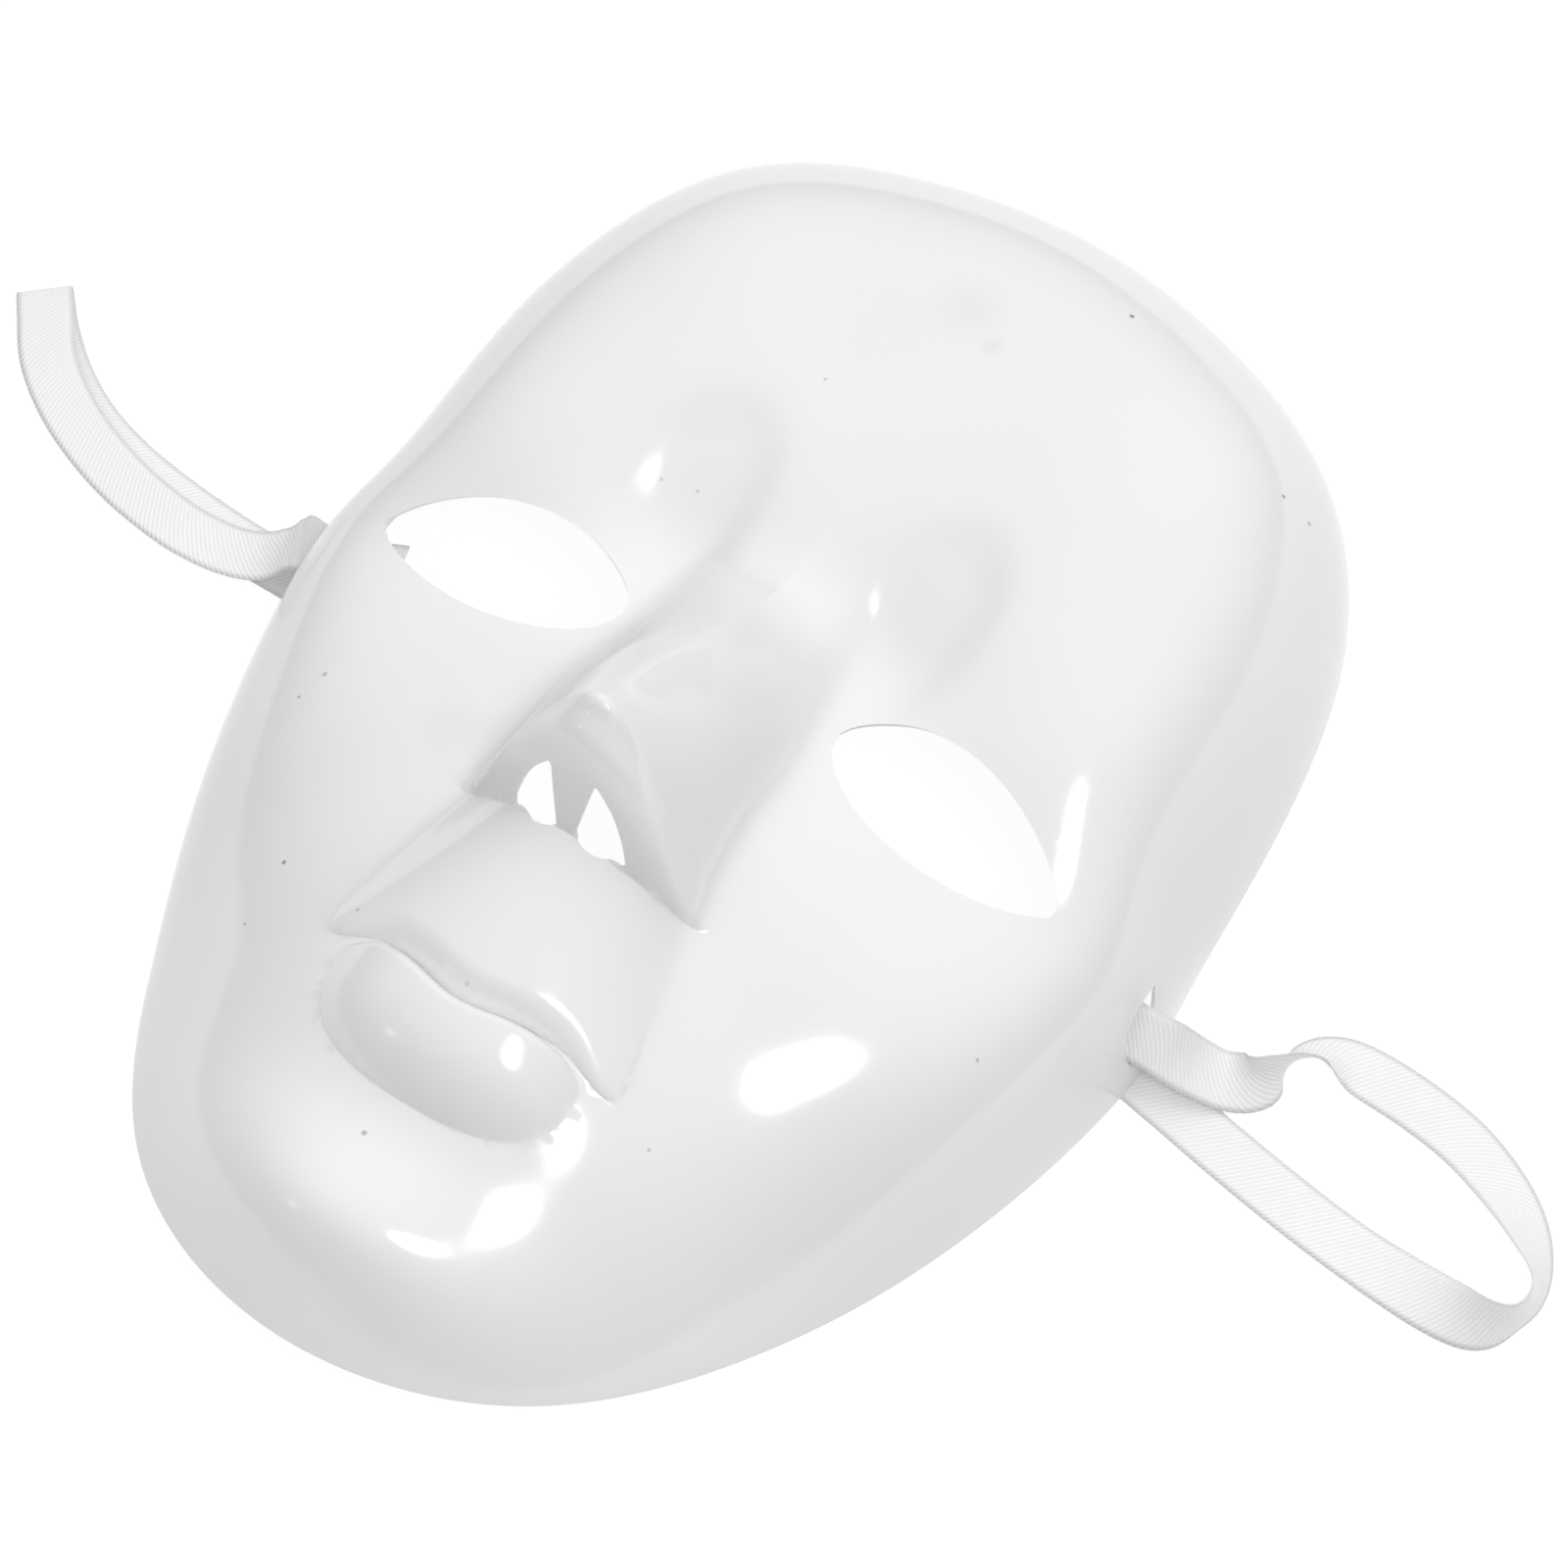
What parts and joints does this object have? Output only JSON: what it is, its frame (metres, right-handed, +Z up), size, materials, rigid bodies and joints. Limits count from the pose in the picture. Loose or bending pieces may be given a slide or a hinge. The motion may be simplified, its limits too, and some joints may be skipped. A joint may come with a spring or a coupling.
{
  "type": "full face mask",
  "caption": "Blank full face mask of thin glossy white plastic with almond eye holes, nostril holes and closed lips, lying face up, with a woven ribbon tie in a slit at each side.",
  "frame": {"origin": "middle of the mask's box, on the surface that its rim rests on", "axes": "+X towards the right side of the picture of the face, +Y from chin to forehead, +Z up out of the face"},
  "size_m": [0.3261, 0.24, 0.0815],
  "materials": {
    "shell_plastic": "smooth white vacuum formed sheet with a glossy face",
    "tie_ribbon": "white narrow woven ribbon with a fine diagonal twill"
  },
  "bodies": {
    "root": {"mask_shell": "shell_plastic", "tie_right": "tie_ribbon", "tie_left": "tie_ribbon"}
  },
  "joints": []
}
